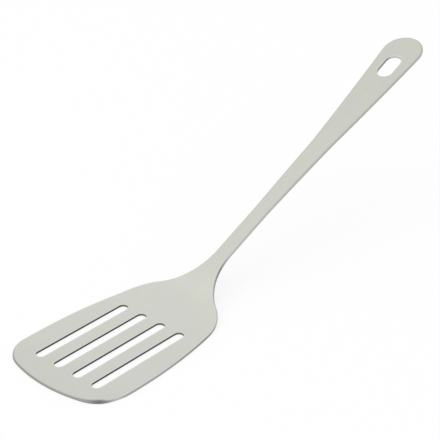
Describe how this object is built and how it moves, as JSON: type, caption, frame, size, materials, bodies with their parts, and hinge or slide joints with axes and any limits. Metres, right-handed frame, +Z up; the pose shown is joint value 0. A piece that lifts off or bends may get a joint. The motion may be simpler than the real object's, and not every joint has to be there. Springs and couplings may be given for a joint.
{
  "type": "slotted turner",
  "caption": "Slotted kitchen turner stamped from a single stainless sheet: flat blade with parallel drain slots, upward bend, slim stem and widening grip with a hanging slot.",
  "frame": {"origin": "middle of the blade's underside, between the two middle drain slots", "axes": "+X from the blade to the handle along the centre line, +Z up out of the blade, +Y across the blade, to the left when looking from the blade to the handle"},
  "size_m": [0.3314, 0.0808, 0.1004],
  "materials": {
    "stainless": "satin"
  },
  "bodies": {
    "root": {"turner_body": "stainless"}
  },
  "joints": []
}
